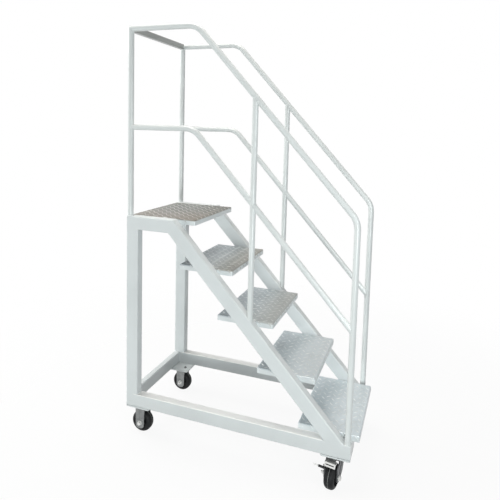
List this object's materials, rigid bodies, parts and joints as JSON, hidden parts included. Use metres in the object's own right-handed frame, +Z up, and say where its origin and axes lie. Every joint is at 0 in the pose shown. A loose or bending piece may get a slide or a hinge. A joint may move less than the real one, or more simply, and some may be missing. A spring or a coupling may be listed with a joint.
{
  "type": "mobile aircraft access stairs",
  "caption": "Hand-pushed access stairs: tube side frames with folded checker-plate treads and platform, bent round handrails and casters, the front ones swivelling with brakes.",
  "frame": {"origin": "floor level under the middle of the whole object", "axes": "+X from the rear of the platform to the foot of the flight, +Z up, climber's left at -Y"},
  "size_m": [1.3362, 0.705, 2.342],
  "materials": {
    "frame_paint": "satin paint",
    "rail_paint": "satin paint",
    "checker_plate": "worn silver grey paint on raised-pattern plate",
    "zinc_plate": "zinc plated",
    "tyre_rubber": "matt",
    "wheel_plastic": "moulded"
  },
  "bodies": {
    "frame": {"axle_rear_left": "zinc_plate", "axle_rear_right": "zinc_plate", "base_cross_front": "frame_paint", "base_cross_rear": "frame_paint", "base_rail_left": "frame_paint", "base_rail_right": "frame_paint", "caster_mount_front_left": "frame_paint", "caster_mount_front_right": "frame_paint", "caster_mount_rear_left": "frame_paint", "caster_mount_rear_right": "frame_paint", "handrail_post_left": "rail_paint", "handrail_post_right": "rail_paint", "mid_post_lower_left": "rail_paint", "mid_post_lower_right": "rail_paint", "mid_post_upper_left": "rail_paint", "mid_post_upper_right": "rail_paint", "mid_rail_left": "rail_paint", "mid_rail_right": "rail_paint", "platform_cross": "frame_paint", "platform_deck": "checker_plate", "platform_rail_left": "frame_paint", "platform_rail_right": "frame_paint", "rear_fork_left": "zinc_plate", "rear_fork_right": "zinc_plate", "rear_upright_left": "frame_paint", "rear_upright_right": "frame_paint", "stringer_left": "frame_paint", "stringer_right": "frame_paint", "swivel_head_left": "zinc_plate", "swivel_head_right": "zinc_plate", "top_rail_left": "rail_paint", "top_rail_right": "rail_paint", "top_rear_bar": "rail_paint", "tread_1": "checker_plate", "tread_2": "checker_plate", "tread_3": "checker_plate", "tread_4": "checker_plate"},
    "wheel_rear_left": {"wheel_core_rear_left": "wheel_plastic", "tyre_rear_left": "tyre_rubber"},
    "swivel_front_left": {"swivel_fork_left": "zinc_plate", "brake_pedal_left": "zinc_plate", "axle_front_left": "zinc_plate"},
    "wheel_front_left": {"wheel_core_front_left": "wheel_plastic", "tyre_front_left": "tyre_rubber"},
    "wheel_rear_right": {"wheel_core_rear_right": "wheel_plastic", "tyre_rear_right": "tyre_rubber"},
    "swivel_front_right": {"swivel_fork_right": "zinc_plate", "brake_pedal_right": "zinc_plate", "axle_front_right": "zinc_plate"},
    "wheel_front_right": {"wheel_core_front_right": "wheel_plastic", "tyre_front_right": "tyre_rubber"}
  },
  "joints": [
    {"name": "wheel_rear_left_spin", "type": "hinge", "parent": "frame", "child": "wheel_rear_left", "pos_m": [-0.59305, -0.245, 0.0625], "axis": [0, 1, 0], "continuous": true},
    {"name": "swivel_front_left_turn", "type": "hinge", "parent": "frame", "child": "swivel_front_left", "pos_m": [0.54995, -0.245, 0.146], "axis": [0, 0, 1], "continuous": true},
    {"name": "wheel_front_left_spin", "type": "hinge", "parent": "swivel_front_left", "child": "wheel_front_left", "pos_m": [0.54214, -0.28932, 0.0625], "axis": [0.9848, -0.1736, 0], "continuous": true},
    {"name": "wheel_rear_right_spin", "type": "hinge", "parent": "frame", "child": "wheel_rear_right", "pos_m": [-0.59305, 0.245, 0.0625], "axis": [0, 1, 0], "continuous": true},
    {"name": "swivel_front_right_turn", "type": "hinge", "parent": "frame", "child": "swivel_front_right", "pos_m": [0.54995, 0.245, 0.146], "axis": [0, 0, 1], "continuous": true},
    {"name": "wheel_front_right_spin", "type": "hinge", "parent": "swivel_front_right", "child": "wheel_front_right", "pos_m": [0.54214, 0.28932, 0.0625], "axis": [0.9848, 0.1736, 0], "continuous": true}
  ]
}
